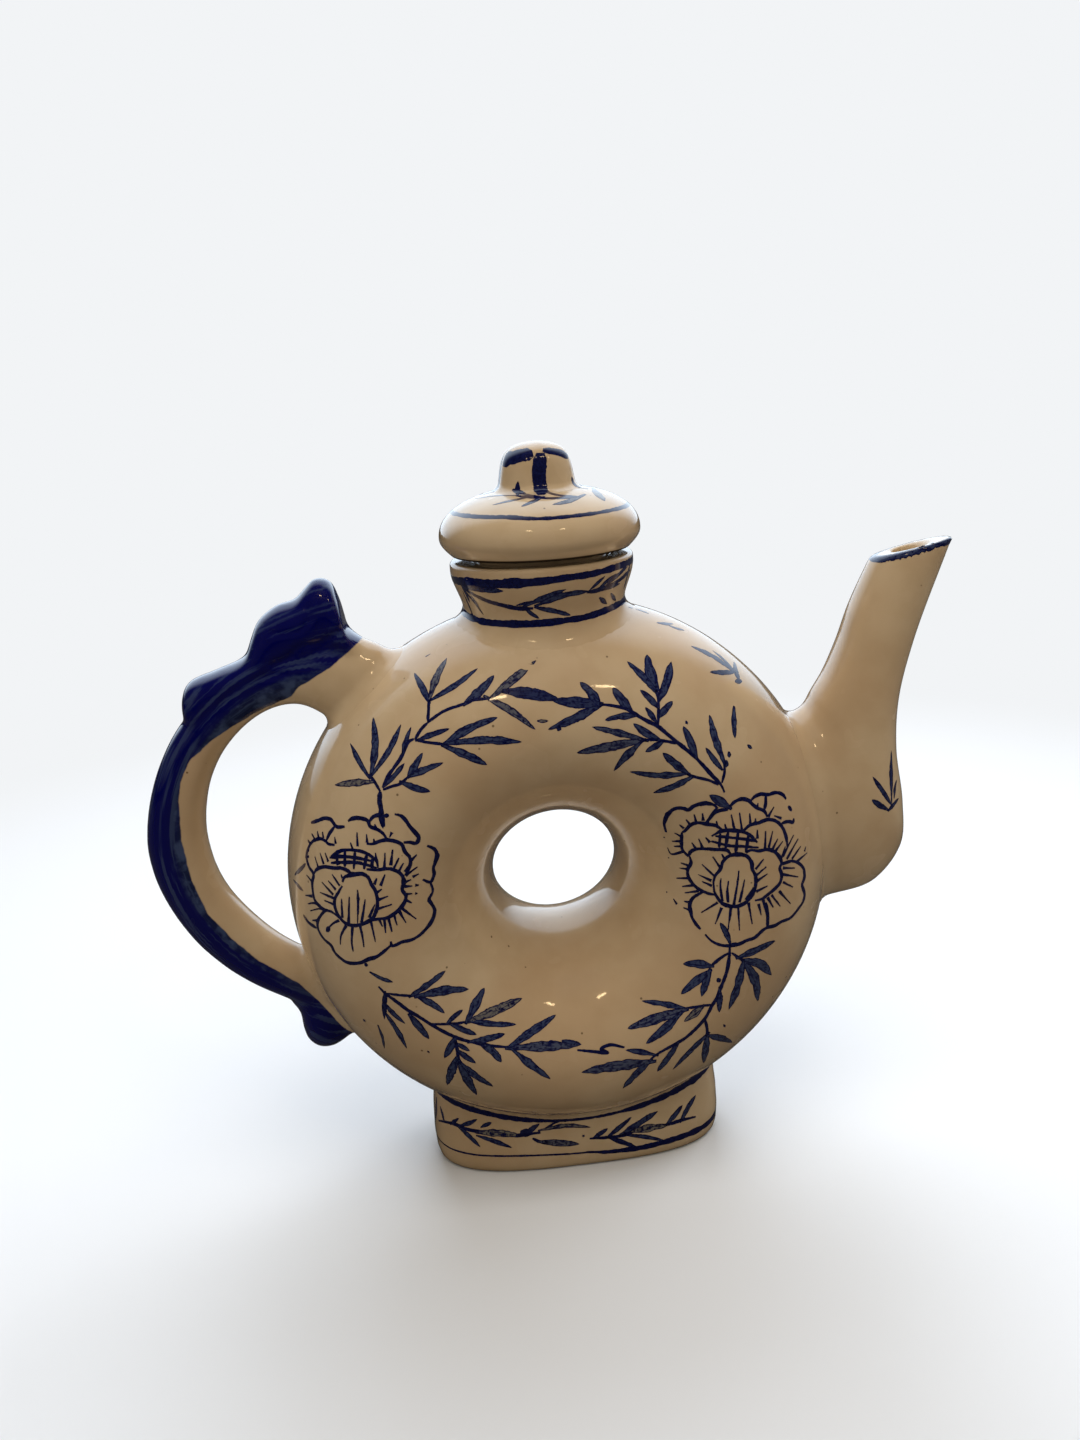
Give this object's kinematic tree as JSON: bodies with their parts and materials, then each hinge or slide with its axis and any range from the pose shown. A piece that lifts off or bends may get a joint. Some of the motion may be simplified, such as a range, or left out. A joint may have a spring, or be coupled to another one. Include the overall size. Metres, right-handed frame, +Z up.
{
  "type": "ring teapot",
  "caption": "Ring-bodied teapot with an open middle, oval foot, leaning spout, crested loop handle and a lift-off domed lid, for brewing and pouring tea.",
  "frame": {"origin": "on the table, under the middle of the foot and of the overall outline", "axes": "+Z up, +X from the handle to the spout, the painted front faces -Y"},
  "size_m": [0.2133, 0.0656, 0.1938],
  "materials": {
    "ivory_glaze": "glossy",
    "cobalt_glaze": "glossy"
  },
  "bodies": {
    "pot": {"ring_front_half": "ivory_glaze", "ring_back_half": "ivory_glaze", "foot_skirt": "ivory_glaze", "neck_collar": "ivory_glaze", "spout": "ivory_glaze", "handle_strap": "cobalt_glaze", "handle_crest": "cobalt_glaze", "handle_scroll": "cobalt_glaze"},
    "lid": {"lid_cap": "ivory_glaze", "lid_flange": "ivory_glaze", "lid_knob": "ivory_glaze"}
  },
  "joints": [
    {"name": "lid_lift", "type": "slide", "parent": "pot", "child": "lid", "axis": [0, 0, 1], "range_m": [0, 0.04]}
  ]
}
